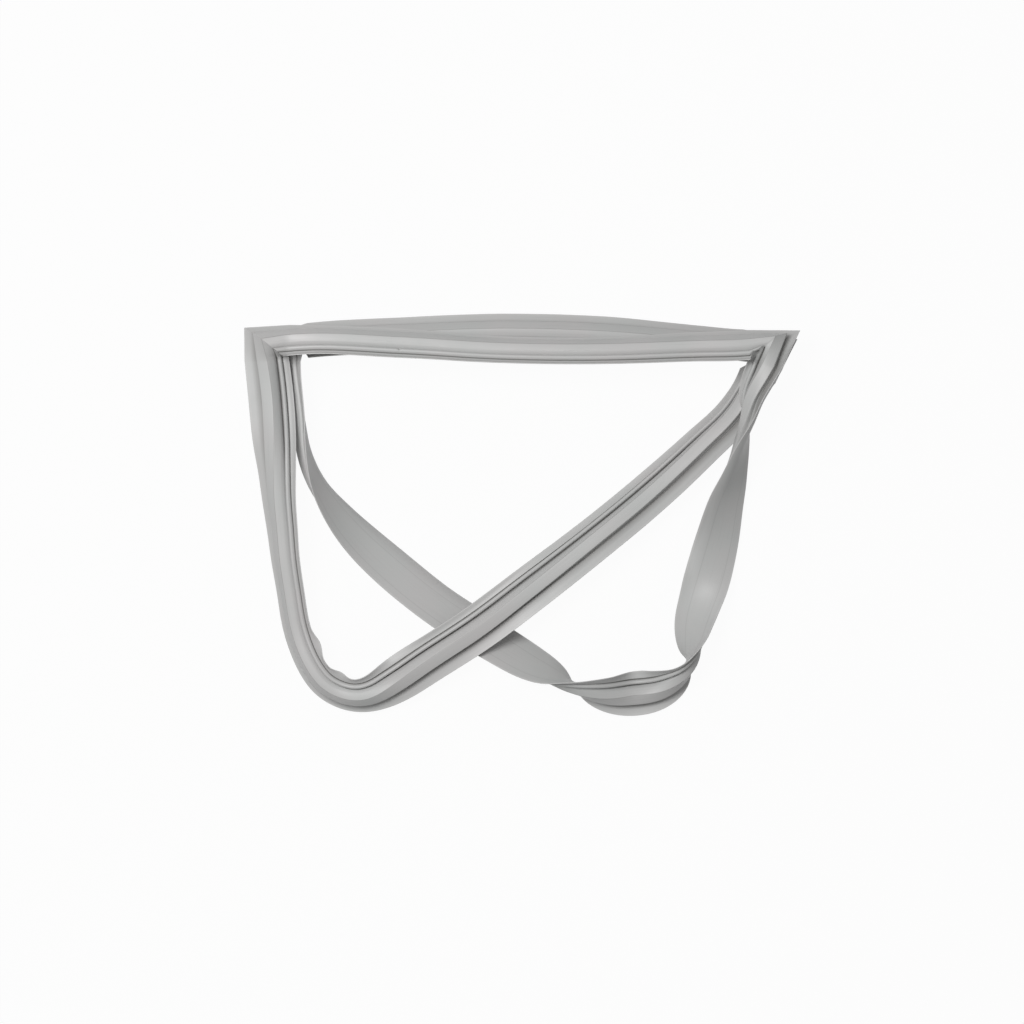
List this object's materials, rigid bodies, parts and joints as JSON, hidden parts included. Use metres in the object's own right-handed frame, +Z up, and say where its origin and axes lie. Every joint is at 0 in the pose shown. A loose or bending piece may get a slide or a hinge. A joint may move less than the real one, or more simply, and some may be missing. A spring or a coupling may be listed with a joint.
{
  "type": "refrigerator door gasket",
  "caption": "Soft grey magnetic door seal for a refrigerator: a welded rectangular frame of hollow ribbed strip, folded over itself as it lies.",
  "frame": {"origin": "on the ground under the middle of the folded gasket's outline", "axes": "+X along the folded top from left to right as pictured, +Y from the two loops towards the folded top, +Z up"},
  "size_m": [0.5732, 0.4186, 0.0799],
  "materials": {
    "soft_grey": "satin soft plastic, light warm grey, slightly paler at the free edges",
    "dark_magnet": "matte dark brown flexible magnet strip"
  },
  "bodies": {
    "root": {"gasket": "soft_grey", "front_magnet": "dark_magnet", "right_magnet": "dark_magnet", "back_magnet": "dark_magnet", "left_magnet": "dark_magnet"}
  },
  "joints": []
}
